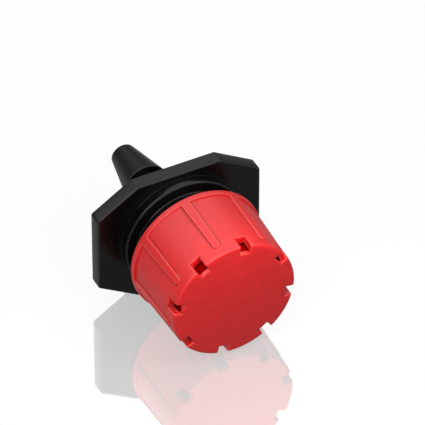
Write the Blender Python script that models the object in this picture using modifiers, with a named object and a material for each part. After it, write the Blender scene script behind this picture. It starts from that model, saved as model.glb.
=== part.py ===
"""Adjustable drip emitter for 4 mm irrigation tube.

Three pieces: a black base moulding (hose barb, octagonal grip plate, threaded neck
with a nozzle), a red flow cap that screws on it (eight outlets, a baffle skirt and a
metering pin) and the rubber ring that seals the cap's mouth against the neck.

Every piece is modelled along local +Z, from the barb tip up to the cap's end face,
and the assembly is then laid down: local +Z becomes world -Y and local +Y becomes
world +Z.  The origin is on the axis, in the plane of the plate's barb-side face.
"""
import math

import bmesh
import bpy
from mathutils import Matrix

MM = 0.001
SEGMENTS = 48                     # facets round a full turn

# Grip plate: a square-set octagon, wider than it is high
PLATE_WIDTH = 21.0 * MM
PLATE_HEIGHT = 16.6 * MM
PLATE_THICKNESS = 1.85 * MM
CORNER_CUT_X = 5.15 * MM
CORNER_CUT_Y = 3.2 * MM
PLATE_EDGE_BEVEL = 0.15 * MM
DIMPLE_RADIUS = 0.9 * MM
DIMPLE_X = 8.9 * MM
DIMPLE_Y = 2.3 * MM
DIMPLE_DEPTH = 0.3 * MM

# Hose barb, below the plate
BORE_RADIUS = 1.0 * MM
BARB_TIP_Z = -13.1 * MM
BARB_TIP_RADIUS = 1.55 * MM
BARB_TIP_ROUND = 0.35 * MM
BARB_EDGE_Z = -6.85 * MM
BARB_EDGE_RADIUS = 2.74 * MM
SHANK_RADIUS = 2.05 * MM
ROOT_Z = -2.3 * MM
ROOT_RADIUS = 2.45 * MM
ROOT_STEP = 0.25 * MM

# Collar and neck, above the plate
COLLAR_RADIUS = 7.57 * MM
COLLAR_TOP = 3.15 * MM
COLLAR_BEVEL = 0.15 * MM
NECK_RADIUS = 6.2 * MM
NECK_FOOT_ROUND = 0.25 * MM
NECK_TOP = 12.6 * MM
NECK_BEVEL = 0.2 * MM
POCKET_RADIUS = 4.9 * MM
POCKET_FLOOR = 3.0 * MM
NOZZLE_RADIUS = 2.3 * MM
NOZZLE_TOP = 13.0 * MM
SEAT_RADIUS = 1.8 * MM            # mouth of the 45 degree valve seat

# Screw thread, right-handed, shared by neck and cap
PITCH = 2.0 * MM
THREAD_START = 9.85 * MM          # height of the male ridge's middle where it begins
THREAD_TURNS = 1.0
RIDGE_CREST_RADIUS = 6.8 * MM
RIDGE_CREST_WIDTH = 0.4 * MM
RIDGE_ROOT_WIDTH = 1.0 * MM
THREAD_CLEARANCE = 0.12 * MM

# Flow cap, at its rest position about three quarters of a turn open
MOUTH_Z = 5.72 * MM
MOUTH_RADIUS = 8.34 * MM
MOUTH_ROUND = 0.2 * MM
LIP_RADIUS = 6.9 * MM
RIM_TOP = 6.5 * MM
RIM_RADIUS = 8.32 * MM
PANEL_RADIUS = 8.04 * MM          # at the rim
END_RADIUS = 7.8 * MM             # where the end rounding begins
END_ROUND = 0.4 * MM
END_Z = 15.9 * MM
END_WALL = 0.6 * MM
CAVITY_RADIUS = 6.94 * MM
BORE_TOP = 12.2 * MM              # top of the threaded bore
CLOSING_TRAVEL = 1.45 * MM        # from rest down to the closed seat
PIN_RADIUS = 1.7 * MM
PIN_TIP_RADIUS = 0.5 * MM
SEAT_GAP = 0.14 * MM              # left between pin and seat when closed
BAFFLE_OUTER = 6.62 * MM          # the short skirt just inside the outlets
BAFFLE_INNER = 6.32 * MM          # goes round the neck's top when closed
BAFFLE_BOTTOM = 13.8 * MM

# Eight grip ribs with an outlet midway between each two
RIBS = 8
RIB_PHASE = math.radians(11.2)
RIB_WIDTH_RIM = 1.25 * MM
RIB_WIDTH_END = 0.95 * MM
RIB_END_Z = 14.5 * MM
RIB_END_RADIUS = 7.97 * MM
RIB_BURIED_RADIUS = 7.4 * MM
OUTLET_WIDTH = 1.3 * MM
OUTLET_START = 14.1 * MM
OUTLET_FLOOR_RADIUS = 6.7 * MM

# Seal ring, in a groove just inside the cap's mouth
SEAL_SECTION = 0.42 * MM
SEAL_CENTRE_Z = 6.8 * MM
SEAL_NECK_GAP = 0.06 * MM
SEAL_GROOVE_RADIUS = 7.16 * MM
SEAL_GROOVE_BOTTOM = 6.32 * MM
SEAL_GROOVE_TOP = 7.28 * MM


def clear_scene():
    for obj in list(bpy.data.objects):
        bpy.data.objects.remove(obj, do_unlink=True)


def new_collection(name):
    collection = bpy.data.collections.new(name)
    bpy.context.scene.collection.children.link(collection)
    return collection


def plastic(name, colour, roughness):
    material = bpy.data.materials.new(name)
    material.use_nodes = True
    shader = material.node_tree.nodes["Principled BSDF"]
    shader.inputs["Base Color"].default_value = (*colour, 1.0)
    shader.inputs["Roughness"].default_value = roughness
    shader.inputs["Metallic"].default_value = 0.0
    return material


def object_from_bmesh(name, bm, collection):
    mesh = bpy.data.meshes.new(name)
    bm.to_mesh(mesh)
    bm.free()
    obj = bpy.data.objects.new(name, mesh)
    collection.objects.link(obj)
    return obj


def turned(name, profile, collection):
    """A solid of revolution about Z; the profile runs down its outer side."""
    bm = bmesh.new()
    points = [bm.verts.new((radius, 0.0, height)) for radius, height in profile]
    closed = profile[0][0] > 0.0
    for first, second in zip(points, points[1:] + points[:1] if closed else points[1:]):
        bm.edges.new((first, second))
    obj = object_from_bmesh(name, bm, collection)
    screw = obj.modifiers.new("turn", "SCREW")
    screw.axis = "Z"
    screw.angle = 2.0 * math.pi
    screw.steps = SEGMENTS
    screw.render_steps = SEGMENTS
    screw.use_merge_vertices = True
    screw.merge_threshold = 0.000001
    return obj


def arc(centre_r, centre_z, radius, start_deg, end_deg, steps=4):
    """Points of a profile's rounding, as (radius, height) pairs."""
    points = []
    for step in range(steps + 1):
        angle = math.radians(start_deg + (end_deg - start_deg) * step / steps)
        points.append((centre_r + radius * math.cos(angle), centre_z + radius * math.sin(angle)))
    return points


def helical_ridge(name, first_turn, last_turn, clearance, root_radius, collection):
    """A trapezoid ridge swept along the thread's helix, closed at both ends."""
    crest = RIDGE_CREST_RADIUS + clearance
    crest_half = RIDGE_CREST_WIDTH / 2 + clearance
    slope = (RIDGE_ROOT_WIDTH - RIDGE_CREST_WIDTH) / 2 / (RIDGE_CREST_RADIUS - NECK_RADIUS)
    root_half = crest_half + slope * (crest - root_radius)
    section = [(root_radius, -root_half), (crest, -crest_half), (crest, crest_half),
               (root_radius, root_half)]
    bm = bmesh.new()
    height = THREAD_START + PITCH * first_turn
    face = bm.faces.new([bm.verts.new((radius, 0.0, height + dz)) for radius, dz in section])
    bmesh.ops.rotate(bm, verts=bm.verts, matrix=Matrix.Rotation(2 * math.pi * first_turn, 3, "Z"))
    turns = last_turn - first_turn
    steps = round(turns * SEGMENTS)
    bmesh.ops.spin(bm, geom=[face, *face.edges, *face.verts], cent=(0, 0, 0), axis=(0, 0, 1),
                   dvec=(0, 0, PITCH * turns / steps), angle=2 * math.pi * turns, steps=steps)
    bmesh.ops.recalc_face_normals(bm, faces=bm.faces)
    return object_from_bmesh(name, bm, collection)


def block(bm, x_range, y_range, z_range):
    """An axis-aligned box added to bm; returns its corners."""
    corners = bmesh.ops.create_cube(bm, size=1.0)["verts"]
    for corner in corners:
        for axis, (low, high) in enumerate((x_range, y_range, z_range)):
            corner.co[axis] = low if corner.co[axis] < 0 else high
    return corners


def combine(obj, other, operation):
    boolean = obj.modifiers.new(other.name, "BOOLEAN")
    boolean.operation = operation
    boolean.object = other
    boolean.solver = "EXACT"
    other.hide_render = True
    other.display_type = "WIRE"


def shade_round(obj):
    """Bakes the modifiers into the mesh, then shades it smooth between sharp edges."""
    depsgraph = bpy.context.evaluated_depsgraph_get()
    obj.data = bpy.data.meshes.new_from_object(obj.evaluated_get(depsgraph))
    obj.modifiers.clear()
    obj.data.shade_smooth()
    obj.data.set_sharp_from_angle(angle=math.radians(30))


def plate_block(collection):
    """The octagonal grip plate, standing on the origin's plane."""
    half_w, half_h = PLATE_WIDTH / 2, PLATE_HEIGHT / 2
    corner = [(half_w, half_h - CORNER_CUT_Y), (half_w - CORNER_CUT_X, half_h)]
    upper = corner + [(-x, y) for x, y in reversed(corner)]
    outline = upper + [(-x, -y) for x, y in upper]
    bm = bmesh.new()
    face = bm.faces.new([bm.verts.new((x, y, 0.0)) for x, y in outline])
    grown = bmesh.ops.extrude_face_region(bm, geom=[face])["geom"]
    top = [item for item in grown if isinstance(item, bmesh.types.BMVert)]
    bmesh.ops.translate(bm, verts=top, vec=(0, 0, PLATE_THICKNESS))
    bmesh.ops.recalc_face_normals(bm, faces=bm.faces)
    plate = object_from_bmesh("plate_block", bm, collection)
    bevel = plate.modifiers.new("edges", "BEVEL")
    bevel.width = PLATE_EDGE_BEVEL
    bevel.segments = 2
    bevel.limit_method = "ANGLE"
    return plate


def dimple_cutter(collection):
    """The ejector mark: a shallow round recess near one end of the plate's barb side."""
    bm = bmesh.new()
    bmesh.ops.create_cone(bm, cap_ends=True, segments=24, radius1=DIMPLE_RADIUS,
                          radius2=DIMPLE_RADIUS, depth=2 * DIMPLE_DEPTH)
    cutter = object_from_bmesh("dimple_cutter", bm, collection)
    cutter.location = (DIMPLE_X, DIMPLE_Y, 0.0)
    return cutter


def base_profile():
    """The base's turned outline: down the outside from the nozzle to the barb, back up the bore."""
    nozzle = [(NOZZLE_RADIUS, NOZZLE_TOP), (NOZZLE_RADIUS, POCKET_FLOOR)]
    sleeve = [(POCKET_RADIUS, POCKET_FLOOR), (POCKET_RADIUS, NECK_TOP),
              (NECK_RADIUS - NECK_BEVEL, NECK_TOP), (NECK_RADIUS, NECK_TOP - NECK_BEVEL)]
    foot = arc(NECK_RADIUS + NECK_FOOT_ROUND, COLLAR_TOP + NECK_FOOT_ROUND, NECK_FOOT_ROUND,
               180, 270)
    collar = [(COLLAR_RADIUS - COLLAR_BEVEL, COLLAR_TOP),
              (COLLAR_RADIUS, COLLAR_TOP - COLLAR_BEVEL),
              (COLLAR_RADIUS, PLATE_THICKNESS / 2), (ROOT_RADIUS, PLATE_THICKNESS / 2)]
    shank = [(ROOT_RADIUS, ROOT_Z), (SHANK_RADIUS, ROOT_Z - ROOT_STEP),
             (SHANK_RADIUS, BARB_EDGE_Z)]
    barb = [(BARB_EDGE_RADIUS, BARB_EDGE_Z)]
    barb += arc(BARB_TIP_RADIUS - BARB_TIP_ROUND, BARB_TIP_Z + BARB_TIP_ROUND,
                BARB_TIP_ROUND, -11, -90)
    bore = [(BORE_RADIUS, BARB_TIP_Z), (BORE_RADIUS, NOZZLE_TOP - (SEAT_RADIUS - BORE_RADIUS)),
            (SEAT_RADIUS, NOZZLE_TOP)]
    return nozzle + sleeve + foot + collar + shank + barb + bore


def make_base(parts, cutters):
    base = turned("barbed_base", base_profile(), parts)
    combine(base, plate_block(cutters), "UNION")
    combine(base, helical_ridge("male_thread", 0.0, THREAD_TURNS, 0.0,
                                NECK_RADIUS - 0.3 * MM, cutters), "UNION")
    combine(base, dimple_cutter(cutters), "DIFFERENCE")
    return base


def cap_profile():
    """The cap's outline: down the outside from the end face, back up inside to the pin's tip."""
    end_face = [(0.0, END_Z)]
    end_round = arc(END_RADIUS - END_ROUND, END_Z - END_ROUND, END_ROUND, 90, 0)
    rim = [(PANEL_RADIUS, RIM_TOP), (RIM_RADIUS, RIM_TOP)]
    rim += arc(MOUTH_RADIUS - MOUTH_ROUND, MOUTH_Z + MOUTH_ROUND, MOUTH_ROUND, 0, -90, 3)
    bore_radius = NECK_RADIUS + THREAD_CLEARANCE
    ceiling = END_Z - END_WALL
    inside = [(LIP_RADIUS, MOUTH_Z), (LIP_RADIUS, SEAL_GROOVE_BOTTOM),
              (SEAL_GROOVE_RADIUS, SEAL_GROOVE_BOTTOM), (SEAL_GROOVE_RADIUS, SEAL_GROOVE_TOP),
              (bore_radius, SEAL_GROOVE_TOP), (bore_radius, BORE_TOP),
              (CAVITY_RADIUS, BORE_TOP), (CAVITY_RADIUS, ceiling)]
    baffle = [(BAFFLE_OUTER, ceiling), (BAFFLE_OUTER, BAFFLE_BOTTOM),
              (BAFFLE_INNER, BAFFLE_BOTTOM), (BAFFLE_INNER, ceiling)]
    seat_z = NOZZLE_TOP - (SEAT_RADIUS - BORE_RADIUS) + SEAT_GAP + CLOSING_TRAVEL
    pin = [(PIN_RADIUS, ceiling), (PIN_RADIUS, seat_z + PIN_RADIUS - BORE_RADIUS),
           (PIN_TIP_RADIUS, seat_z + PIN_TIP_RADIUS - BORE_RADIUS),
           (0.0, seat_z + PIN_TIP_RADIUS - BORE_RADIUS)]
    return end_face + end_round + rim + inside + baffle + pin


def rib_bars(collection):
    """Eight tapered grip ribs, buried in the cap's wall, from the rim to short of the outlets."""
    bm = bmesh.new()
    for index in range(RIBS):
        corners = block(bm, (RIB_BURIED_RADIUS, RIM_RADIUS), (-0.5, 0.5),
                        (MOUTH_Z + MOUTH_ROUND * 2, RIB_END_Z))
        for corner in corners:
            at_end = corner.co.z > RIM_TOP
            corner.co.y *= RIB_WIDTH_END if at_end else RIB_WIDTH_RIM
            if at_end and corner.co.x > RIB_BURIED_RADIUS:
                corner.co.x = RIB_END_RADIUS
        turn = Matrix.Rotation(RIB_PHASE + index * 2 * math.pi / RIBS, 3, "Z")
        bmesh.ops.rotate(bm, verts=corners, matrix=turn)
    return object_from_bmesh("grip_ribs", bm, collection)


def outlet_cutters(collection):
    """Eight square notches through the corner between the cap's side and its end face."""
    bm = bmesh.new()
    for index in range(RIBS):
        corners = block(bm, (OUTLET_FLOOR_RADIUS, MOUTH_RADIUS + 1 * MM),
                        (-OUTLET_WIDTH / 2, OUTLET_WIDTH / 2), (OUTLET_START, END_Z + 1 * MM))
        turn = Matrix.Rotation(RIB_PHASE + (index + 0.5) * 2 * math.pi / RIBS, 3, "Z")
        bmesh.ops.rotate(bm, verts=corners, matrix=turn)
    return object_from_bmesh("outlet_cutters", bm, collection)


def make_cap(parts, cutters):
    cap = turned("flow_cap", cap_profile(), parts)
    first_turn = (SEAL_CENTRE_Z - THREAD_START) / PITCH
    last_turn = (BORE_TOP + RIDGE_ROOT_WIDTH / 2 - THREAD_START) / PITCH
    combine(cap, rib_bars(cutters), "UNION")
    combine(cap, helical_ridge("female_thread", first_turn, last_turn, THREAD_CLEARANCE,
                               NECK_RADIUS - THREAD_CLEARANCE, cutters), "DIFFERENCE")
    combine(cap, outlet_cutters(cutters), "DIFFERENCE")
    return cap


def make_seal(parts):
    bpy.ops.mesh.primitive_torus_add(
        major_radius=NECK_RADIUS + SEAL_NECK_GAP + SEAL_SECTION, minor_radius=SEAL_SECTION,
        major_segments=SEGMENTS, minor_segments=12)
    seal = bpy.context.object
    seal.name = "seal_ring"
    for collection in list(seal.users_collection):
        collection.objects.unlink(seal)
    parts.objects.link(seal)
    seal.data.transform(Matrix.Translation((0, 0, SEAL_CENTRE_Z)))
    return seal


def lay_down(pieces, cutters):
    """Turns the axis from vertical to horizontal, the cap towards -Y."""
    stand = bpy.data.objects.new("emitter_axis", None)
    bpy.context.scene.collection.objects.link(stand)
    stand.rotation_euler = (math.pi / 2, 0, 0)
    for obj in [*pieces, *cutters.objects]:
        obj.parent = stand


def main():
    clear_scene()
    parts = new_collection("drip_emitter")
    cutters = new_collection("cutters")
    base = make_base(parts, cutters)
    cap = make_cap(parts, cutters)
    seal = make_seal(parts)
    for piece in (base, cap, seal):
        shade_round(piece)
    base.data.materials.append(plastic("black_plastic", (0.012, 0.012, 0.013), 0.45))
    cap.data.materials.append(plastic("red_plastic", (0.73, 0.035, 0.035), 0.4))
    seal.data.materials.append(plastic("black_rubber", (0.02, 0.02, 0.02), 0.7))
    lay_down((base, cap, seal), cutters)


main()
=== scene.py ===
"""The looks of an adjustable drip emitter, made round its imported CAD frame.

The two mouldings and the seal are stacks of rings round the emitter's axis.  A point is
given by its radius, its angle round the axis and its height along it: the height is 0 on
the grip plate's barb-side face and grows towards the cap, and world y is minus the height.
"""
import math
from collections import namedtuple

import bmesh
import bpy
from mathutils import Matrix, Vector


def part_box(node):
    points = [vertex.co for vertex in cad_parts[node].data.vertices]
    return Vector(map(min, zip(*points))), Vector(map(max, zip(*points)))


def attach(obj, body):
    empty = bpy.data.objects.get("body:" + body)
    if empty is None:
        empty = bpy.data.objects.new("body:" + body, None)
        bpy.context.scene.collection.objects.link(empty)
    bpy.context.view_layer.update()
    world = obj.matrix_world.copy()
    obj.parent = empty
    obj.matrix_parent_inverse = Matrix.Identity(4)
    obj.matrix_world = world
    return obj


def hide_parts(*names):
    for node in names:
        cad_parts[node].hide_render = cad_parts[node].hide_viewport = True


MM = 0.001
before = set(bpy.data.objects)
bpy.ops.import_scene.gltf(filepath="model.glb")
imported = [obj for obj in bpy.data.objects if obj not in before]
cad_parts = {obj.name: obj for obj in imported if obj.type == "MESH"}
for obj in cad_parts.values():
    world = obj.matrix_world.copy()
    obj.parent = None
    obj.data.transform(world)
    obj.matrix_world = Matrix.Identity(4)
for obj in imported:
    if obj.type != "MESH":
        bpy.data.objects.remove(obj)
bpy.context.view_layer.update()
base_low, base_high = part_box("barbed_base")
cap_low, cap_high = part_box("flow_cap")
seal_low, seal_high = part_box("seal_ring")

# All the shapes
BESIDE_ROUND = 0.06 * MM          # from a rounding's end to the next row of points
MERGE_DISTANCE = 0.001 * MM       # points closer together than this become one
THINNEST_FACE = 0.01 * MM         # narrower faces count as this wide when bends are measured
SHARP_ANGLE = math.radians(38)    # edges that turn more than this are shaded sharp

# Grip plate
PLATE_WIDTH = base_high.x - base_low.x
PLATE_HEIGHT = base_high.z - base_low.z
PLATE_THICKNESS = 1.85 * MM
CORNER_CUT_X = 5.15 * MM
CORNER_CUT_Z = 3.2 * MM
CORNER_ROUND = 0.4 * MM
PLATE_ROUND = 0.2 * MM
PLATE_ARC_STEPS = 4               # in each rounding of the plate
PLATE_FACE_ROWS = (0.04, 0.1, 0.3, 0.5, 0.7, 0.9, 0.96)     # shares of the way across a face
COLUMN_SPACING = 0.28 * MM        # between the base's columns, along the plate's outline
DIMPLE_RADIUS = 0.9 * MM
DIMPLE_DEPTH = 0.3 * MM
DIMPLE_MOUTH_ROUND = 0.06 * MM
DIMPLE_FLOOR_ROUND = 0.12 * MM
DIMPLE_STEPS = 48
DIMPLE_X = 8.9 * MM
DIMPLE_Z = 2.3 * MM
CUTTER_REACH = 0.5 * MM           # how far the dimple's cutter stands out of the plate

# Hose barb
BORE_RADIUS = 1.0 * MM
BORE_MOUTH_ROUND = 0.1 * MM
TIP_HEIGHT = -base_high.y
TIP_RADIUS = 1.55 * MM
TIP_ROUND = 0.35 * MM
BARB_EDGE_HEIGHT = -6.85 * MM
BARB_EDGE_RADIUS = 2.74 * MM
BARB_EDGE_ROUND = 0.06 * MM
SHANK_RADIUS = 2.05 * MM
SHANK_ROW = 0.8 * MM
ROOT_HEIGHT = -2.3 * MM
ROOT_RADIUS = 2.45 * MM
ROOT_STEP = 0.25 * MM             # length of the slope from the root down to the shank
ROOT_FOOT_RADIUS = SHANK_RADIUS + 0.03 * MM
ROOT_FOOT_HEIGHT = ROOT_HEIGHT - ROOT_STEP * 0.8
FLASH_HEIGHT = 0.025 * MM         # the mould's parting line, a fine ridge on the barb
FLASH_WIDTH = 0.07 * MM

# Collar and neck
COLLAR_RADIUS = 7.57 * MM
COLLAR_TOP = 3.15 * MM
COLLAR_ROUND = 0.25 * MM
COLLAR_FOOT_ROUND = 0.05 * MM
NECK_RADIUS = 6.2 * MM
NECK_FOOT_ROUND = 0.25 * MM
NECK_TOP = 12.6 * MM
POCKET_RADIUS = 4.9 * MM
POCKET_FLOOR = 3.0 * MM
NOZZLE_RADIUS = 2.3 * MM
NOZZLE_TOP = -base_low.y
SEAT_RADIUS = 1.8 * MM
EDGE_ROUND = 0.15 * MM

# Screw thread, right-handed, on the neck and in the cap
PITCH = 2.0 * MM
THREAD_START = 9.85 * MM
THREAD_FADE = math.radians(20)
RIDGE_HEIGHT = 0.6 * MM
RIDGE_HALF_WIDTH = 0.5 * MM       # at the ridge's foot
FLANK = 0.5                       # half-width lost for each unit of ridge height
THREAD_CLEARANCE = 0.12 * MM
THREAD_ROW = 0.08 * MM            # between the threads' rows of points

# Flow cap
MOUTH = -cap_high.y
END = -cap_low.y
RIM_OUTER = cap_high.x
RIM_RADIUS = 8.32 * MM
RIM_TOP = 6.5 * MM
MOUTH_ROUND = 0.2 * MM
MOUTH_ROW = 0.2 * MM              # from the mouth's rounding to the next row of points
RIM_EDGE = 0.09 * MM
LIP_RADIUS = 6.9 * MM
LIP_ROUND = 0.1 * MM
LIP_ROUND_MIDDLE = 0.03 * MM      # how far the lip's rounding cuts its corner, each way
PANEL_RADIUS = 8.04 * MM
END_RADIUS = 7.8 * MM
END_ROUND = 0.4 * MM
END_DOME = 0.1 * MM
END_WALL = 0.6 * MM
CAVITY_RADIUS = 6.94 * MM
CAVITY_ROW = 13.2 * MM
BORE_TOP = 12.2 * MM
BAFFLE_OUTER = 6.62 * MM          # a short skirt just inside the outlets
BAFFLE_INNER = 6.32 * MM
BAFFLE_BOTTOM = 13.8 * MM
PIN_RADIUS = 1.7 * MM
PIN_TIP_RADIUS = 0.5 * MM
PIN_TIP_HEIGHT = 13.29 * MM
SEAL_GROOVE_RADIUS = 7.16 * MM
SEAL_GROOVE_BOTTOM = 6.32 * MM
SEAL_GROOVE_TOP = 7.28 * MM

# Seal ring
SEAL_SECTION_STEPS = 32
SEAL_TURN_STEPS = 160
SEAL_LINE_DEPTH = 0.03            # of the section's radius
SEAL_LINE_NARROWNESS = 6

# Grip ribs and the outlets between them
RIBS = 8
RIB_PHASE = math.radians(11.2)
HALF_SECTOR = math.pi / RIBS
RIB_HALF_RIM = 0.52 * MM
RIB_HALF_END = 0.38 * MM
RIB_SHOULDER = 0.10 * MM
RIB_END = 14.45 * MM
RIB_CORNER = 0.25 * MM
RIB_END_RADIUS = 7.97 * MM
OUTLET_HALF = 0.65 * MM
OUTLET_ROUND = 0.2 * MM
OUTLET_START = 14.1 * MM
OUTLET_FLOOR = 6.7 * MM

# Rows of points on the cap's skin
FIRST_SIDE_ROW = 0.15 * MM        # from the foot of the rim's step
SIDE_ROW = 0.5 * MM
UPPER_ROW = 0.2 * MM              # between the ribs' ends and the cap's rounded corner
ROW_GAP = 0.1 * MM                # between two stretches of rows
RIB_CORNER_STEPS = 6
RIB_FOOT_STEPS = 5
END_ROUND_STEPS = 9
OUTLET_FACE_ROWS = (7.2 * MM, 7.0 * MM, 6.85 * MM)
INNER_FACE_ROWS = (6.2 * MM, 5.6 * MM, 4.8 * MM, 3.8 * MM, 2.6 * MM, 1.4 * MM, 0.5 * MM)
EVEN_FROM = 5.6 * MM              # further in, the columns spread until they are even
EVEN_OVER = 2.0 * MM


# ---------------------------------------------------------------- shapes

def place(radius, angle, height):
    """The world point at a radius and an angle round the axis, and a height along it."""
    return Vector((radius * math.cos(angle), -height, radius * math.sin(angle)))


def smooth(share):
    """An S-curve from 0 to 1."""
    share = min(max(share, 0.0), 1.0)
    return share * share * (3.0 - 2.0 * share)


def mix(first, second, share):
    """The value a share of the way from the first to the second."""
    return first + (second - first) * share


def arc(centre_r, centre_h, radius, start_deg, end_deg, steps=5):
    """Points of a profile's rounding, as (radius, height) pairs."""
    points = []
    for step in range(steps + 1):
        angle = math.radians(mix(start_deg, end_deg, step / steps))
        points.append((centre_r + radius * math.cos(angle), centre_h + radius * math.sin(angle)))
    return points


def with_rows_beside(profile):
    """Adds a point near both ends of each long stretch, so that roundings shade crisply."""
    points = [profile[0]]
    for start, end in zip(profile, profile[1:]):
        length = math.dist(start, end)
        if length > 4 * BESIDE_ROUND:
            for share in (BESIDE_ROUND / length, 1.0 - BESIDE_ROUND / length):
                points.append((mix(start[0], end[0], share), mix(start[1], end[1], share)))
        points.append(end)
    return points


def span(start, end, step):
    """Evenly spaced values from start to end, no further apart than step."""
    count = max(1, math.ceil(abs(end - start) / step))
    return [mix(start, end, index / count) for index in range(count + 1)]


def add_ring(bm, points):
    """Vertices at a ring of points."""
    return [bm.verts.new(point) for point in points]


def join_rings(bm, rings, kept=lambda row, column: True):
    """Four-sided faces between each ring of vertices and the next."""
    faces = []
    for row, (first, second) in enumerate(zip(rings, rings[1:])):
        for column in range(len(first)):
            after = (column + 1) % len(first)
            if kept(row, column):
                corners = (first[column], first[after], second[after], second[column])
                faces.append(bm.faces.new(corners))
    return faces


def close_ring(bm, ring, centre):
    """A fan of faces from a ring to a point."""
    middle = bm.verts.new(centre)
    for column, vertex in enumerate(ring):
        bm.faces.new((vertex, ring[(column + 1) % len(ring)], middle))


def mark_bends(mesh):
    """Stores, at each point, one over the radius of its sharpest bend: minus in a corner."""
    bm = bmesh.new()
    bm.from_mesh(mesh)
    bends = []
    for vertex in bm.verts:
        sharpest = 0.0
        for edge in vertex.link_edges:
            width = min(face.calc_area() for face in edge.link_faces) / edge.calc_length()
            bend = edge.calc_face_angle_signed(0.0) / max(width, THINNEST_FACE)
            if abs(bend) > abs(sharpest):
                sharpest = bend
        bends.append(sharpest * MM)
    bm.free()
    mesh.attributes.new("bend", "FLOAT", "POINT").data.foreach_set("value", bends)


def finish_piece(name, bm, materials, body, node):
    """Makes the mesh a smooth-shaded piece that stands for a CAD node and moves with its body."""
    bmesh.ops.remove_doubles(bm, verts=bm.verts, dist=MERGE_DISTANCE)
    bmesh.ops.recalc_face_normals(bm, faces=bm.faces)
    mesh = bpy.data.meshes.new(name)
    bm.to_mesh(mesh)
    bm.free()
    mark_bends(mesh)
    mesh.shade_smooth()
    mesh.set_sharp_from_angle(angle=SHARP_ANGLE)
    for material in materials:
        mesh.materials.append(material)
    piece = bpy.data.objects.new(name, mesh)
    bpy.context.scene.collection.objects.link(piece)
    normals = piece.modifiers.new("face_weighted_normals", "WEIGHTED_NORMAL")
    normals.keep_sharp = True
    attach(piece, body)
    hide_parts(node)
    return piece


# ---------------------------------------------------------------- thread

def ridge_profile(offset, half_width):
    """Height of the thread's trapezoid at a distance from its middle line."""
    return min(max((half_width - abs(offset)) / FLANK, 0.0), RIDGE_HEIGHT)


def male_ridge(angle, height):
    """How far the neck's one turn of thread stands out, fading at its two ends."""
    turned = angle % (2 * math.pi)
    offset = height - THREAD_START - PITCH * turned / (2 * math.pi)
    fade = smooth(turned / THREAD_FADE) * smooth((2 * math.pi - turned) / THREAD_FADE)
    return fade * ridge_profile(offset, RIDGE_HALF_WIDTH)


def female_groove(angle, height):
    """How deep the cap's thread is cut, turn after turn along its bore."""
    offset = height - THREAD_START - PITCH * angle / (2 * math.pi)
    offset = (offset + PITCH / 2) % PITCH - PITCH / 2
    return ridge_profile(offset, RIDGE_HALF_WIDTH + THREAD_CLEARANCE)


# ---------------------------------------------------------------- base moulding

def plate_corners():
    """The octagon's corners, counter-clockwise from the lower one on the +X side."""
    half_w, half_h = PLATE_WIDTH / 2, PLATE_HEIGHT / 2
    upper = [Vector((half_w, half_h - CORNER_CUT_Z)), Vector((half_w - CORNER_CUT_X, half_h))]
    upper += [Vector((-corner.x, corner.y)) for corner in reversed(upper)]
    corners = upper + [-corner for corner in upper]
    return corners[-1:] + corners[:-1]


def outline(inset):
    """The plate's outline moved in by inset, the same number of points for every inset."""
    corners = plate_corners()
    arcs = []
    for index, corner in enumerate(corners):
        before = (corner - corners[index - 1]).normalized()
        after = (corners[(index + 1) % len(corners)] - corner).normalized()
        normals = [Vector((way.y, -way.x)) for way in (before, after)]
        bisector = normals[0] + normals[1]
        centre = corner - bisector * CORNER_ROUND / (1 + normals[0].dot(normals[1]))
        angles = [math.atan2(normal.y, normal.x) for normal in normals]
        turn = (angles[1] - angles[0]) % (2 * math.pi)
        ways = [angles[0] + turn * step / PLATE_ARC_STEPS for step in range(PLATE_ARC_STEPS + 1)]
        arcs.append([centre + (CORNER_ROUND - inset) * Vector((math.cos(way), math.sin(way)))
                     for way in ways])
    points = []
    for index, rounding in enumerate(arcs):
        following = arcs[(index + 1) % len(arcs)][0]
        length = (corners[(index + 1) % len(corners)] - corners[index]).length
        count = 2 * round(length / COLUMN_SPACING / 2)
        side = [rounding[-1].lerp(following, step / count) for step in range(1, count)]
        points += rounding + side
    return points


def plate_ring(inset, height):
    """The plate's outline, moved in by inset, at a height."""
    return [Vector((point.x, -height, point.y)) for point in outline(inset)]


def base_angles():
    """Directions of the base's columns: those of the plate's outline, seen from the axis."""
    return [math.atan2(point.y, point.x) for point in outline(0.0)]


def turned_rings(profile, angles, extra=lambda angle, height: 0.0):
    """A profile turned round the axis, one ring for each of its points."""
    return [[place(radius + extra(angle, height), angle, height) for angle in angles]
            for radius, height in profile]


def flash_line(angle, _height):
    """The parting line's ridge, on the two sides of the barb that face +X and -X."""
    across = BARB_EDGE_RADIUS * abs(math.sin(angle))
    return FLASH_HEIGHT * math.exp(-(across / FLASH_WIDTH) ** 2)


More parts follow.
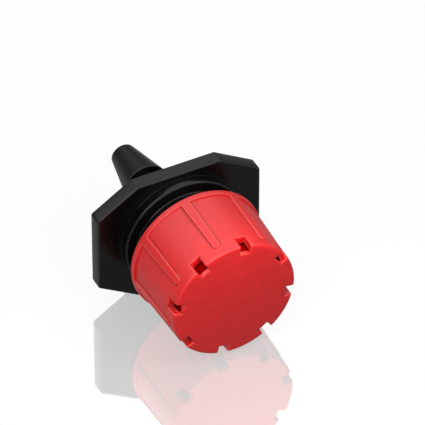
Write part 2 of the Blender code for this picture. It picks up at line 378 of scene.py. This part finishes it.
def neck_profiles():
    """From the valve seat out over the neck and down to the collar's foot."""
    seat = [(BORE_RADIUS, NOZZLE_TOP - (SEAT_RADIUS - BORE_RADIUS)), (SEAT_RADIUS, NOZZLE_TOP)]
    inside = arc(NOZZLE_RADIUS - EDGE_ROUND, NOZZLE_TOP - EDGE_ROUND, EDGE_ROUND, 90, 0)
    inside += arc(NOZZLE_RADIUS + EDGE_ROUND, POCKET_FLOOR + EDGE_ROUND, EDGE_ROUND, 180, 270)
    inside += arc(POCKET_RADIUS - EDGE_ROUND, POCKET_FLOOR + EDGE_ROUND, EDGE_ROUND, 270, 360)
    inside += arc(POCKET_RADIUS + EDGE_ROUND, NECK_TOP - EDGE_ROUND, EDGE_ROUND, 180, 90)
    inside += arc(NECK_RADIUS - EDGE_ROUND, NECK_TOP - EDGE_ROUND, EDGE_ROUND, 90, 0)
    threaded_from = NECK_TOP - EDGE_ROUND
    threaded_to = THREAD_START - RIDGE_HALF_WIDTH
    thread = [(NECK_RADIUS, height) for height in span(threaded_from, threaded_to, THREAD_ROW)]
    neck_foot = (NECK_RADIUS + NECK_FOOT_ROUND, COLLAR_TOP + NECK_FOOT_ROUND)
    collar_foot = (COLLAR_RADIUS + COLLAR_FOOT_ROUND, PLATE_THICKNESS + COLLAR_FOOT_ROUND)
    collar = arc(*neck_foot, NECK_FOOT_ROUND, 180, 270)
    collar += arc(COLLAR_RADIUS - COLLAR_ROUND, COLLAR_TOP - COLLAR_ROUND, COLLAR_ROUND, 90, 0)
    collar += arc(*collar_foot, COLLAR_FOOT_ROUND, 180, 270, 3)
    return seat + inside, thread[1:], with_rows_beside(collar)


def barb_profile():
    """From the root's foot on the plate, over the shank and the barb, to the bore's mouth."""
    corner = EDGE_ROUND / 2
    shank_start = ROOT_HEIGHT - ROOT_STEP
    root = arc(ROOT_RADIUS + EDGE_ROUND, -EDGE_ROUND, EDGE_ROUND, 90, 180, 4)
    root += arc(ROOT_RADIUS - corner, ROOT_HEIGHT + corner, corner, 0, -60, 3)
    root += [(ROOT_FOOT_RADIUS, ROOT_FOOT_HEIGHT), (SHANK_RADIUS, shank_start)]
    shank = span(shank_start, BARB_EDGE_HEIGHT, SHANK_ROW)
    barb = [(SHANK_RADIUS, height) for height in shank[1:]]
    cone = math.degrees(math.atan2(BARB_EDGE_RADIUS - TIP_RADIUS, BARB_EDGE_HEIGHT - TIP_HEIGHT))
    edge = (BARB_EDGE_RADIUS - BARB_EDGE_ROUND, BARB_EDGE_HEIGHT - BARB_EDGE_ROUND)
    barb += arc(*edge, BARB_EDGE_ROUND, 90, -cone, 4)
    barb += arc(TIP_RADIUS - TIP_ROUND, TIP_HEIGHT + TIP_ROUND, TIP_ROUND, -cone, -90, 6)
    bore = (BORE_RADIUS + BORE_MOUTH_ROUND, TIP_HEIGHT + BORE_MOUTH_ROUND)
    mouth = arc(*bore, BORE_MOUTH_ROUND, 270, 180, 3)
    return with_rows_beside(root + barb), mouth


def rings_between(first, second):
    """The rings across one of the plate's faces, between the two rings at its edges."""
    return [[start.lerp(end, share) for start, end in zip(first, second)]
            for share in PLATE_FACE_ROWS]


def plate_rings():
    """The plate's front face, rounded edge and barb-side face, without their middles."""
    angles = [math.radians(90 * step / PLATE_ARC_STEPS) for step in range(PLATE_ARC_STEPS + 1)]
    rings = [plate_ring(PLATE_ROUND + BESIDE_ROUND, PLATE_THICKNESS)]
    for angle in angles:
        inset = PLATE_ROUND * (1 - math.sin(angle))
        rings.append(plate_ring(inset, PLATE_THICKNESS - PLATE_ROUND * (1 - math.cos(angle))))
    for angle in angles:
        inset = PLATE_ROUND * (1 - math.cos(angle))
        rings.append(plate_ring(inset, PLATE_ROUND * (1 - math.sin(angle))))
    rings.append(plate_ring(PLATE_ROUND + BESIDE_ROUND, 0.0))
    return rings


def cut_dimple(piece):
    """Presses the ejector mark into the plate's barb side: a shallow round dish."""
    mouth, floor = DIMPLE_MOUTH_ROUND, DIMPLE_FLOOR_ROUND
    profile = [(DIMPLE_RADIUS + mouth, CUTTER_REACH)]
    profile += arc(DIMPLE_RADIUS + mouth, -mouth, mouth, 90, 180, 4)
    profile += arc(DIMPLE_RADIUS - floor, floor - DIMPLE_DEPTH, floor, 0, -90, 4)
    turns = [index * 2 * math.pi / DIMPLE_STEPS for index in range(DIMPLE_STEPS)]
    bm = bmesh.new()
    rings = []
    for radius, y in profile:
        circle = [(DIMPLE_X + radius * math.cos(turn), y, DIMPLE_Z + radius * math.sin(turn))
                  for turn in turns]
        rings.append(add_ring(bm, circle))
    join_rings(bm, rings)
    bm.faces.new(rings[0])
    bm.faces.new(rings[-1])
    bmesh.ops.recalc_face_normals(bm, faces=bm.faces)
    mesh = bpy.data.meshes.new("dimple_cutter")
    bm.to_mesh(mesh)
    bm.free()
    cutter = bpy.data.objects.new("dimple_cutter", mesh)
    bpy.context.scene.collection.objects.link(cutter)
    cut = piece.modifiers.new("dimple", "BOOLEAN")
    cut.operation = "DIFFERENCE"
    cut.solver = "EXACT"
    cut.object = cutter
    weighted = piece.modifiers["face_weighted_normals"]
    weighted.show_viewport = False        # only the cut is made final here
    ready = piece.evaluated_get(bpy.context.evaluated_depsgraph_get())
    piece.data = bpy.data.meshes.new_from_object(ready)
    piece.data.name = piece.name
    piece.modifiers.remove(cut)
    weighted.show_viewport = True
    bpy.data.objects.remove(cutter)
    bpy.data.meshes.remove(mesh)


def make_base(material):
    """Barb, plate, collar, threaded neck and nozzle, with the bore through them all."""
    angles = base_angles()
    inside, thread, collar = neck_profiles()
    outside, mouth = barb_profile()
    stack = turned_rings(inside, angles)
    stack += turned_rings(thread, angles, male_ridge)
    stack += turned_rings(collar, angles)
    plate = plate_rings()
    barb = turned_rings(outside, angles, flash_line)
    stack += rings_between(stack[-1], plate[0]) + plate
    stack += rings_between(plate[-1], barb[0]) + barb
    stack += turned_rings(mouth, angles)
    bm = bmesh.new()
    loops = [add_ring(bm, points) for points in stack]
    join_rings(bm, loops + loops[:1])
    piece = finish_piece("base_moulding", bm, [material], "base", "barbed_base")
    cut_dimple(piece)
    return piece


# ---------------------------------------------------------------- flow cap

# A row of the cap's skin.  panel and rib are the (radius, height) of the row between the
# ribs and on a rib's top, normal is the way out of the skin, outside is how far along the
# skin the row lies from the outlets, and the half-widths are those of the rib there.
Row = namedtuple("Row", "panel rib normal outside top_half foot_half")

# A column of the cap between a rib's middle and an outlet's: the zone between two key lines
# that it lies in, its share of the way across that zone, how much of a rib it is, and its
# share of the whole way if all columns were evenly spaced.
Column = namedtuple("Column", "zone share rib even")
RIB_ZONE, SHOULDER_ZONE, PANEL_ZONE, EDGE_ZONE, OUTLET_ZONE = range(5)
ZONE_STEPS = (3, 5, 6, 5, 3)


def sector_columns():
    """Columns from a rib's middle to the next outlet's middle."""
    columns = []
    for zone, steps in enumerate(ZONE_STEPS):
        for step in range(steps):
            share = step / steps
            rib = 1.0 if zone == RIB_ZONE else 0.0
            if zone == SHOULDER_ZONE:
                rib = 1.0 - smooth(share)
            if zone == EDGE_ZONE:
                share = math.sin(share * math.pi / 2)
            columns.append(Column(zone, share, rib, len(columns) / sum(ZONE_STEPS)))
    columns.append(Column(OUTLET_ZONE, 1.0, 0.0, 1.0))
    return columns


def ring_columns():
    """(sector's angle, side, column) of every column round the cap."""
    half = sector_columns()
    columns = []
    for index in range(RIBS):
        middle = RIB_PHASE + index * 2 * HALF_SECTOR
        columns += [(middle, -1.0, column) for column in reversed(half[1:])]
        columns += [(middle, 1.0, column) for column in half[:-1]]
    return columns


def key_angles(radius, top_half, foot_half):
    """Angles of the key lines from a rib's middle, at a radius."""
    reach = max(radius, OUTLET_FLOOR)
    wall = math.asin(OUTLET_HALF / reach)
    rounding = math.asin((OUTLET_HALF + OUTLET_ROUND) / reach)
    return (0.0, top_half / reach, foot_half / reach, HALF_SECTOR - rounding, HALF_SECTOR - wall,
            HALF_SECTOR)


def panel_radius(height):
    """The cap's radius between its ribs."""
    return mix(PANEL_RADIUS, END_RADIUS, (height - RIM_TOP) / (END - END_ROUND - RIM_TOP))


def rib_radius(height):
    """The cap's radius on top of its ribs."""
    return mix(RIM_RADIUS, RIB_END_RADIUS, (height - RIM_TOP) / (RIB_END - RIM_TOP))


def rib_halves(height):
    """Half-widths of a rib at its top and at its foot; its end has rounded corners."""
    top = mix(RIB_HALF_RIM, RIB_HALF_END, (height - RIM_TOP) / (RIB_END - RIM_TOP))
    into_corner = min(max(height - (RIB_END - RIB_CORNER), 0.0), RIB_CORNER)
    top -= RIB_CORNER - math.sqrt(RIB_CORNER ** 2 - into_corner ** 2)
    return top, top + RIB_SHOULDER


def round_drop(distance):
    """How far an outlet's rounded edge lies below the skin at a distance from its wall."""
    if distance >= OUTLET_ROUND:
        return 0.0
    return OUTLET_ROUND - math.sqrt(OUTLET_ROUND ** 2 - (OUTLET_ROUND - distance) ** 2)


def side_row(height):
    """A row on the cap's side, above the rim."""
    panel = panel_radius(height)
    past_end = (height - RIB_END) / RIB_SHOULDER
    rib = panel + (rib_radius(min(height, RIB_END)) - panel) * (1.0 - smooth(past_end))
    top_half, foot_half = rib_halves(min(height, RIB_END))
    return Row((panel, height), (rib, height), (1.0, 0.0), max(0.0, OUTLET_START - height),
               top_half, foot_half)


def rim_rows():
    """From the mouth's face over the rim band and down its step to the panels."""
    top_half, foot_half = rib_halves(RIM_TOP)
    flat = [(LIP_RADIUS + LIP_ROUND, MOUTH), (RIM_OUTER - MOUTH_ROUND - MOUTH_ROW, MOUTH)]
    mouth = arc(RIM_OUTER - MOUTH_ROUND, MOUTH + MOUTH_ROUND, MOUTH_ROUND, -90, 0, 6)
    mouth.append((RIM_OUTER, MOUTH + MOUTH_ROUND + BESIDE_ROUND))
    step = [(RIM_RADIUS, RIM_TOP - RIM_EDGE - BESIDE_ROUND)]
    step += arc(RIM_RADIUS - RIM_EDGE, RIM_TOP - RIM_EDGE, RIM_EDGE, 0, 90, 4)
    step += arc(PANEL_RADIUS + RIM_EDGE, RIM_TOP + RIM_EDGE, RIM_EDGE, 270, 180, 4)
    far = OUTLET_START - RIM_TOP
    rows = [Row(point, point, (1.0, 0.0), far, top_half, foot_half) for point in flat + mouth]
    rows += [Row(point, (rib_radius(point[1]), point[1]), (1.0, 0.0), far, top_half, foot_half)
             for point in step]
    return rows


def round_steps(steps=5):
    """Distances from an outlet's wall of the rows that make its rounded edge, far to near."""
    return [OUTLET_ROUND * (1.0 - math.sin(step / steps * math.pi / 2))
            for step in range(steps + 1)]


def side_rows():
    """(rows below the outlets, rows beside them) on the cap's side."""
    heights = [RIM_TOP + RIM_EDGE + FIRST_SIDE_ROW]
    heights += span(RIM_TOP + SIDE_ROW, OUTLET_START - OUTLET_ROUND - ROW_GAP, SIDE_ROW)
    below = [side_row(height) for height in heights]
    below += [side_row(OUTLET_START - distance) for distance in round_steps()]
    rib_corner = [RIB_END - RIB_CORNER * math.cos(step * math.pi / 2 / RIB_CORNER_STEPS)
                  for step in range(RIB_CORNER_STEPS + 1)]
    rib_foot = [RIB_END + RIB_SHOULDER * step / RIB_FOOT_STEPS
                for step in range(1, RIB_FOOT_STEPS + 1)]
    corner_start = END - END_DOME - END_ROUND
    upper = span(RIB_END + RIB_SHOULDER + ROW_GAP, corner_start - BESIDE_ROUND, UPPER_ROW)
    return below, [side_row(height) for height in rib_corner + rib_foot + upper]


def face_row(radius, outside):
    """A row on the slightly domed end face."""
    height = END - END_DOME * (radius / (END_RADIUS - END_ROUND)) ** 2
    return Row((radius, height), (radius, height), (0.0, 1.0), outside, *rib_halves(RIB_END))


def end_rows():
    """(rows of the rounded corner and the outlets' part of the end face, rows inside that)."""
    halves = rib_halves(RIB_END)
    corner = []
    rim = END_RADIUS - END_ROUND
    for step in range(END_ROUND_STEPS + 1):
        angle = math.radians(90 * step / END_ROUND_STEPS)
        way = (math.cos(angle), math.sin(angle))
        height = END - END_DOME - END_ROUND + END_ROUND * way[1]
        point = (rim + END_ROUND * way[0], height)
        corner.append(Row(point, point, way, 0.0, *halves))
    corner += [face_row(radius, 0.0) for radius in (*OUTLET_FACE_ROWS, OUTLET_FLOOR)]
    distances = reversed(round_steps()[:-1])
    inner = [face_row(OUTLET_FLOOR - distance, distance) for distance in distances]
    inner += [face_row(radius, OUTLET_FLOOR) for radius in INNER_FACE_ROWS]
    return corner, inner


def column_offset(keys, column, radius):
    """A column's angle from its rib's middle; near the axis the columns are evenly spaced."""
    offset = mix(keys[column.zone], keys[column.zone + 1], column.share)
    return mix(offset, HALF_SECTOR * column.even, smooth((EVEN_FROM - radius) / EVEN_OVER))


def skin_ring(row, columns):
    """The points of one row of the cap's skin."""
    keys = key_angles(row.panel[0], row.top_half, row.foot_half)
    points = []
    for middle, side, column in columns:
        offset = column_offset(keys, column, row.panel[0])
        radius = mix(row.panel[0], row.rib[0], column.rib)
        height = mix(row.panel[1], row.rib[1], column.rib)
        reach = max(row.panel[0], OUTLET_FLOOR)
        beside = max(0.0, reach * math.sin(HALF_SECTOR - offset) - OUTLET_HALF)
        drop = round_drop(math.hypot(beside, row.outside))
        points.append(place(radius - drop * row.normal[0], middle + side * offset,
                            height - drop * row.normal[1]))
    return points


def bore_rings(columns):
    """The rings of the cap's inside, from its lip to the metering pin's tip."""
    ceiling = END - END_WALL
    lip = [(LIP_RADIUS + LIP_ROUND_MIDDLE, MOUTH + LIP_ROUND_MIDDLE),
           (LIP_RADIUS, MOUTH + LIP_ROUND), (LIP_RADIUS, SEAL_GROOVE_BOTTOM),
           (SEAL_GROOVE_RADIUS, SEAL_GROOVE_BOTTOM), (SEAL_GROOVE_RADIUS, SEAL_GROOVE_TOP)]
    bore = NECK_RADIUS + THREAD_CLEARANCE
    thread = [(bore, height) for height in span(SEAL_GROOVE_TOP, BORE_TOP, THREAD_ROW)]
    cavity = [(CAVITY_RADIUS, BORE_TOP), (CAVITY_RADIUS, CAVITY_ROW)]
    beside = [(CAVITY_RADIUS, OUTLET_START), (CAVITY_RADIUS, ceiling), (OUTLET_FLOOR, ceiling)]
    tip = (BAFFLE_OUTER - BAFFLE_INNER) / 2
    baffle = [(BAFFLE_OUTER, ceiling)]
    baffle += arc(BAFFLE_OUTER - tip, BAFFLE_BOTTOM + tip, tip, 0, -180, 6)
    baffle += arc(BAFFLE_INNER - EDGE_ROUND, ceiling - EDGE_ROUND, EDGE_ROUND, 0, 90, 3)
    pin = arc(PIN_RADIUS + EDGE_ROUND, ceiling - EDGE_ROUND, EDGE_ROUND, 90, 180, 3)
    pin.append((PIN_RADIUS, PIN_TIP_HEIGHT + PIN_RADIUS - PIN_TIP_RADIUS))
    pin.append((PIN_TIP_RADIUS, PIN_TIP_HEIGHT))
    turned = []
    for profile in (lip, thread, cavity, beside, baffle + pin):
        rings = []
        for radius, height in profile:
            keys = key_angles(radius, *rib_halves(RIB_END))
            ring = []
            for middle, side, column in columns:
                angle = middle + side * column_offset(keys, column, radius)
                depth = female_groove(angle, height) if profile is thread else 0.0
                ring.append(place(radius + depth, angle, height))
            rings.append(ring)
        turned.append(rings)
    return turned


def outlet_spans(columns):
    """For each outlet, the indices of its columns from one wall to the other."""
    half = ZONE_STEPS[OUTLET_ZONE]
    count = len(columns)
    middles = [index for index, (_, _, column) in enumerate(columns)
               if column.zone == OUTLET_ZONE and column.share == 1.0]
    return [[(middle + step) % count for step in range(-half, half + 1)] for middle in middles]


def make_cap(materials):
    """The skin with its ribs and outlets, and the inside from the lip to the metering pin."""
    columns = ring_columns()
    spans = outlet_spans(columns)
    open_columns = {index for indices in spans for index in indices[:-1]}
    below, beside = side_rows()
    corner, inner = end_rows()
    rows = rim_rows() + below
    first_open = len(rows) - 1
    rows += beside + corner
    last_open = len(rows) - 1
    rows += inner
    bm = bmesh.new()
    skin = [add_ring(bm, skin_ring(row, columns)) for row in rows]
    join_rings(bm, skin, lambda row, column: not (
        first_open <= row < last_open and column in open_columns))
    close_ring(bm, skin[-1], place(0.0, 0.0, END))

    lip, thread, cavity, side, middle = [[add_ring(bm, ring) for ring in rings]
                                         for rings in bore_rings(columns)]
    inside = skin[:1] + lip + thread + cavity + side + middle
    hole_from = inside.index(side[0]) - inside.index(cavity[0])
    join_rings(bm, inside[:inside.index(cavity[0]) + 1])
    # The cavity's faces take the second material, the darker copy of the red with painted shade
    shaded = join_rings(bm, inside[inside.index(cavity[0]):], lambda row, column: not (
        hole_from <= row < hole_from + 2 and column in open_columns))
    for face in shaded:
        face.material_index = 1           # the second of the materials
    close_ring(bm, inside[-1], place(0.0, 0.0, PIN_TIP_HEIGHT))

    for indices in spans:
        for before, after in zip(indices, indices[1:]):
            for outer, back in ((skin[first_open], side[0]), (skin[last_open], side[2])):
                bm.faces.new((outer[before], outer[after], back[after], back[before]))
        for column in (indices[0], indices[-1]):
            edge = [skin[row][column] for row in range(first_open, last_open + 1)]
            bm.faces.new(edge + [side[2][column], side[1][column], side[0][column]])
    return finish_piece("cap_moulding", bm, materials, "cap", "flow_cap")


# ---------------------------------------------------------------- seal ring

def make_seal(material):
    """A round-section ring, with a faint groove where its mould's flash is trimmed off."""
    section = (seal_high.y - seal_low.y) / 2
    height = -(seal_high.y + seal_low.y) / 2
    centre = seal_high.x - section
    profile = []
    for step in range(SEAL_SECTION_STEPS):
        way = step * 2 * math.pi / SEAL_SECTION_STEPS
        in_line = smooth(1.0 - abs(math.sin(way)) * SEAL_LINE_NARROWNESS)
        swell = 1.0 - SEAL_LINE_DEPTH * in_line
        profile.append((centre + section * swell * math.cos(way),
                        height + section * swell * math.sin(way)))
    angles = [index * 2 * math.pi / SEAL_TURN_STEPS for index in range(SEAL_TURN_STEPS)]
    bm = bmesh.new()
    loops = [add_ring(bm, ring) for ring in turned_rings(profile, angles)]
    join_rings(bm, loops + loops[:1])
    return finish_piece("seal_rubber", bm, [material], "seal", "seal_ring")


# ---------------------------------------------------------------- materials

# The detail in the plastics' surface: features in a metre, and how deep they are
CLOUD_SCALE = 900
PATCH_SCALE = 480
WAVE_SCALE = 1500
SPECKLE_SCALE = 5200
WAVE_DEPTH = 0.03 * MM
SPECKLE_DEPTH = 0.018 * MM

# The bends over which an edge gets its painted highlight and a corner its painted shade: one over
# the radius in mm
HIGHLIGHT_BENDS = (3.0, 9.0)
CREASE_SHADE_BENDS = (-12.0, -3.0)

# How far red, green and blue light travels inside the red plastic
SCATTER_LENGTH = 0.8 * MM
SCATTER_SHARES = (1.0, 0.08, 0.05)

FLOOR_WHITE = (0.95, 0.95, 0.95, 1.0)
FLOOR_GLOW = 1.16
FLOOR_GLOW_SHARE = 0.8
MIRROR_ROUGHNESS = 0.04
MIRROR_SHARE = 0.45
WHITE = (1.0, 1.0, 1.0, 1.0)

# A colour Mix node's sockets, which share their names with those for other kinds of value
MIX_SHARE, MIX_FIRST, MIX_SECOND = 0, 6, 7
MIX_RESULT = 2


def node(tree, kind, **inputs):
    """A new node; an input's name has _ for its spaces."""
    made = tree.nodes.new(kind)
    for name, value in inputs.items():
        made.inputs[name.replace("_", " ")].default_value = value
    return made


def noise(tree, coordinates, scale, detail=2.0, roughness=0.5):
    """Noise with about scale features in a metre."""
    made = node(tree, "ShaderNodeTexNoise", Scale=scale, Detail=detail, Roughness=roughness)
    tree.links.new(coordinates, made.inputs["Vector"])
    return made.outputs["Fac"]


def ranged(tree, value, low, high, start=0.3, end=0.7):
    """Maps a value from start to end onto one from low to high."""
    made = node(tree, "ShaderNodeMapRange", From_Min=start, From_Max=end, To_Min=low, To_Max=high)
    tree.links.new(value, made.inputs["Value"])
    return made.outputs["Result"]


def blend(tree, share, first, second):
    """A mix of two colours; the share and the colours may each be a socket."""
    made = tree.nodes.new("ShaderNodeMix")
    made.data_type = "RGBA"
    for index, value in ((MIX_SHARE, share), (MIX_FIRST, first), (MIX_SECOND, second)):
        if isinstance(value, bpy.types.NodeSocket):
            tree.links.new(value, made.inputs[index])
        else:
            made.inputs[index].default_value = value if index == MIX_SHARE else (*value, 1.0)
    return made.outputs[MIX_RESULT]


def multiply(tree, first, second):
    """The product of two sockets."""
    made = node(tree, "ShaderNodeMath")
    made.operation = "MULTIPLY"
    tree.links.new(first, made.inputs[0])
    tree.links.new(second, made.inputs[1])
    return made.outputs[0]


def bump(tree, height, strength, distance, normal=None):
    """A normal that the height bends, on top of another normal if one is given."""
    made = node(tree, "ShaderNodeBump", Strength=strength, Distance=distance)
    tree.links.new(height, made.inputs["Height"])
    if normal:
        tree.links.new(normal, made.inputs["Normal"])
    return made.outputs["Normal"]


def moulded(name, light, dark, edge_highlight, crease_shade, roughness, grain, specular=0.5, subsurface=0.0,
            ior=1.5):
    """A moulded polymer: cloudy colour, a painted highlight on its edges, painted shade in its
    creases, uneven gloss and a grain.
    """
    material = bpy.data.materials.new(name)
    material.use_nodes = True
    tree = material.node_tree
    shader = tree.nodes["Principled BSDF"]
    coordinates = tree.nodes.new("ShaderNodeTexCoord").outputs["Object"]
    clouds = noise(tree, coordinates, CLOUD_SCALE, detail=4.0, roughness=0.6)
    patches = noise(tree, coordinates, PATCH_SCALE, detail=3.0)
    waves = noise(tree, coordinates, WAVE_SCALE, detail=3.0)
    speckle = noise(tree, coordinates, SPECKLE_SCALE)
    bends = tree.nodes.new("ShaderNodeAttribute")
    bends.attribute_name = "bend"
    bend = bends.outputs["Fac"]
    body = blend(tree, ranged(tree, clouds, 0.0, 1.0), light, dark)
    # Painted shade: corners and creases turn darker, where shade falls
    body = blend(tree, ranged(tree, bend, 1.0, 0.0, *CREASE_SHADE_BENDS), body, crease_shade)
    # Painted highlight: convex edges turn paler, broken up by the clouds
    edges = ranged(tree, bend, 0.0, 1.0, *HIGHLIGHT_BENDS)
    highlight_mask = multiply(tree, edges, ranged(tree, clouds, 0.4, 1.0))
    tree.links.new(blend(tree, highlight_mask, body, edge_highlight), shader.inputs["Base Color"])
    tree.links.new(ranged(tree, patches, *roughness), shader.inputs["Roughness"])
    shader.inputs["IOR"].default_value = ior
    shader.inputs["Specular IOR Level"].default_value = specular
    shader.inputs["Subsurface Weight"].default_value = subsurface
    shader.inputs["Subsurface Radius"].default_value = SCATTER_SHARES
    shader.inputs["Subsurface Scale"].default_value = SCATTER_LENGTH
    fine = bump(tree, speckle, grain, SPECKLE_DEPTH)
    tree.links.new(bump(tree, waves, grain, WAVE_DEPTH, fine), shader.inputs["Normal"])
    return material


def red_plastic():
    """The cap's skin: glossy, and lit a little from within, with a painted highlight on its edges
    and painted shade in its corners.
    """
    return moulded("red_moulded_plastic", light=(0.76, 0.010, 0.011), dark=(0.68, 0.006, 0.008),
                   edge_highlight=(0.84, 0.060, 0.055), crease_shade=(0.50, 0.003, 0.004),
                   roughness=(0.34, 0.43), grain=0.6, specular=1.0, subsurface=0.25, ior=1.55)


def shaded_red_plastic():
    """A darker copy of the red plastic for deep inside the cap: painted shade, standing in for
    the dim light that only comes through its walls.
    """
    return moulded("red_plastic_painted_shade_inside_cap", light=(0.40, 0.0005, 0.0005),
                   dark=(0.34, 0.0004, 0.0004), edge_highlight=(0.40, 0.0005, 0.0005),
                   crease_shade=(0.30, 0.0004, 0.0004),
                   roughness=(0.6, 0.7), grain=0.3, specular=0.0)


def black_plastic():
    """The base's plastic: nearly black, with a painted highlight on its edges."""
    return moulded("black_moulded_plastic", light=(0.0044, 0.0040, 0.0042),
                   dark=(0.0028, 0.0025, 0.0027), edge_highlight=(0.068, 0.068, 0.070),
                   crease_shade=(0.0015, 0.0015, 0.0015), roughness=(0.15, 0.23), grain=0.45)


def black_rubber():
    """The seal's rubber: greyer and duller than the plastic, with a faint painted highlight on
    its edges and painted shade in its corners.
    """
    return moulded("black_nitrile_rubber", light=(0.022, 0.022, 0.022),
                   dark=(0.015, 0.015, 0.015), edge_highlight=(0.03, 0.03, 0.03), crease_shade=(0.01, 0.01, 0.01),
                   roughness=(0.55, 0.7), grain=0.3, specular=0.4)


def mix_shaders(tree, share, first, second):
    """A mix of two shader nodes; the share may be a socket."""
    made = tree.nodes.new("ShaderNodeMixShader")
    if isinstance(share, bpy.types.NodeSocket):
        tree.links.new(share, made.inputs[0])
    else:
        made.inputs[0].default_value = share
    tree.links.new(first.outputs[0], made.inputs[1])
    tree.links.new(second.outputs[0], made.inputs[2])
    return made


def floor_material():
    """A white tabletop, partly glowing and partly a soft mirror."""
    material = bpy.data.materials.new("white_tabletop")
    material.use_nodes = True
    tree = material.node_tree
    tree.nodes.remove(tree.nodes["Principled BSDF"])
    matt = node(tree, "ShaderNodeBsdfDiffuse", Color=FLOOR_WHITE)
    glow = node(tree, "ShaderNodeEmission", Color=WHITE, Strength=FLOOR_GLOW)
    mirror = node(tree, "ShaderNodeBsdfGlossy", Color=WHITE, Roughness=MIRROR_ROUGHNESS)
    base = mix_shaders(tree, FLOOR_GLOW_SHARE, matt, glow)
    both = mix_shaders(tree, MIRROR_SHARE, base, mirror)
    tree.links.new(both.outputs[0], tree.nodes["Material Output"].inputs["Surface"])
    return material


# ---------------------------------------------------------------- stage

FLOOR_GAP = 0.02 * MM
FLOOR_HEIGHT = cap_low.z - FLOOR_GAP
FLOOR_HALF_SIZE = 0.6
CAMERA_AZIMUTH = math.radians(27.16)
CAMERA_ELEVATION = math.radians(41.27)
CAMERA_DISTANCE = 600 * MM
CAMERA_RIGHT = 4.656 * MM
CAMERA_UP = 0.770 * MM
CAMERA_LENS = 437.0
CAMERA_SENSOR = 36.0
CAMERA_CLIPS = (0.01, 10.0)

# The studio round the object: its light from overhead, from the horizon and up from the
# floor, and the directions' z and y over which one changes into another
LIGHT_OVERHEAD = 0.87
LIGHT_HORIZON = 0.2
LIGHT_FLOOR_FRONT = 0.17
LIGHT_FLOOR_REAR = 0.33
OVERHEAD_Z = (0.33, 0.62)
FLOOR_Z = (-0.2, 0.0)
REAR_Y = (-0.8, 0.8)

# Softboxes: place and target in metres, width and length in metres, power in watts
Softbox = namedtuple("Softbox", "name place target size power")
KEY_LIGHT = Softbox("key", (-0.09, -0.05, 0.10), (0.0, -0.008, 0.0), (0.08, 0.08), 0.02)
FILL_LIGHTS = (
    Softbox("end_light", (0.002, -0.027, 0.022), (0.0, -0.0159, 0.0), (0.024, 0.012), 0.0046),
    Softbox("left_fill", (-0.065, -0.055, 0.0), (-0.004, -0.012, 0.0), (0.05, 0.03), 0.024),
)


def add_camera():
    """Looks along +Y and down, a little from the emitter's left, with no roll."""
    forward = Vector((math.sin(CAMERA_AZIMUTH) * math.cos(CAMERA_ELEVATION),
                      math.cos(CAMERA_AZIMUTH) * math.cos(CAMERA_ELEVATION),
                      -math.sin(CAMERA_ELEVATION)))
    right = Vector((math.cos(CAMERA_AZIMUTH), -math.sin(CAMERA_AZIMUTH), 0.0))
    up = right.cross(forward)
    data = bpy.data.cameras.new("camera")
    data.lens = CAMERA_LENS
    data.sensor_width = CAMERA_SENSOR
    data.clip_start, data.clip_end = CAMERA_CLIPS
    camera = bpy.data.objects.new("camera", data)
    bpy.context.scene.collection.objects.link(camera)
    location = right * CAMERA_RIGHT + up * CAMERA_UP - forward * CAMERA_DISTANCE
    turn = Matrix((right, up, -forward)).transposed().to_4x4()
    camera.matrix_world = Matrix.Translation(location) @ turn
    bpy.context.scene.camera = camera


def add_floor():
    """The tabletop, which lies just under the cap and lights nothing."""
    bm = bmesh.new()
    bmesh.ops.create_grid(bm, x_segments=1, y_segments=1, size=FLOOR_HALF_SIZE)
    mesh = bpy.data.meshes.new("floor")
    bm.to_mesh(mesh)
    bm.free()
    mesh.materials.append(floor_material())
    floor = bpy.data.objects.new("floor", mesh)
    floor.location.z = FLOOR_HEIGHT
    bpy.context.scene.collection.objects.link(floor)
    floor.visible_diffuse = False
    floor.visible_glossy = False


def add_softbox(softbox, mirrored=True):
    """A rectangular light; mirrored says whether glossy surfaces show it."""
    data = bpy.data.lights.new(softbox.name, "AREA")
    data.shape = "RECTANGLE"
    data.size, data.size_y = softbox.size
    data.energy = softbox.power
    light = bpy.data.objects.new(softbox.name, data)
    bpy.context.scene.collection.objects.link(light)
    light.location = softbox.place
    aim = Vector(softbox.target) - Vector(softbox.place)
    light.rotation_euler = aim.to_track_quat("-Z", "Y").to_euler()
    light.visible_camera = False
    light.visible_glossy = mirrored


def grey(level):
    """A colour with equal red, green and blue."""
    return (level, level, level)


def add_world():
    """Studio light: bright overhead, dim at the horizon, and a floor that is paler behind.

    The camera sees plain white instead.
    """
    world = bpy.data.worlds.new("studio")
    world.use_nodes = True
    tree = world.node_tree
    direction = tree.nodes.new("ShaderNodeTexCoord").outputs["Generated"]
    split = tree.nodes.new("ShaderNodeSeparateXYZ")
    tree.links.new(direction, split.inputs[0])
    high = ranged(tree, split.outputs["Z"], 0.0, 1.0, *OVERHEAD_Z)
    low = ranged(tree, split.outputs["Z"], 1.0, 0.0, *FLOOR_Z)
    rear = ranged(tree, split.outputs["Y"], 0.0, 1.0, *REAR_Y)
    upper = blend(tree, high, grey(LIGHT_HORIZON), grey(LIGHT_OVERHEAD))
    lower = blend(tree, rear, grey(LIGHT_FLOOR_FRONT), grey(LIGHT_FLOOR_REAR))
    lit = tree.nodes["Background"]
    tree.links.new(blend(tree, low, upper, lower), lit.inputs["Color"])
    seen = node(tree, "ShaderNodeBackground", Color=WHITE)
    camera_ray = tree.nodes.new("ShaderNodeLightPath").outputs["Is Camera Ray"]
    both = mix_shaders(tree, camera_ray, lit, seen)
    tree.links.new(both.outputs[0], tree.nodes["World Output"].inputs["Surface"])
    bpy.context.scene.world = world


bpy.context.scene.view_settings.view_transform = "Standard"
add_camera()
add_world()
add_softbox(KEY_LIGHT)
for fill_light in FILL_LIGHTS:
    add_softbox(fill_light, mirrored=False)
add_floor()
make_base(black_plastic())
make_cap([red_plastic(), shaded_red_plastic()])
make_seal(black_rubber())
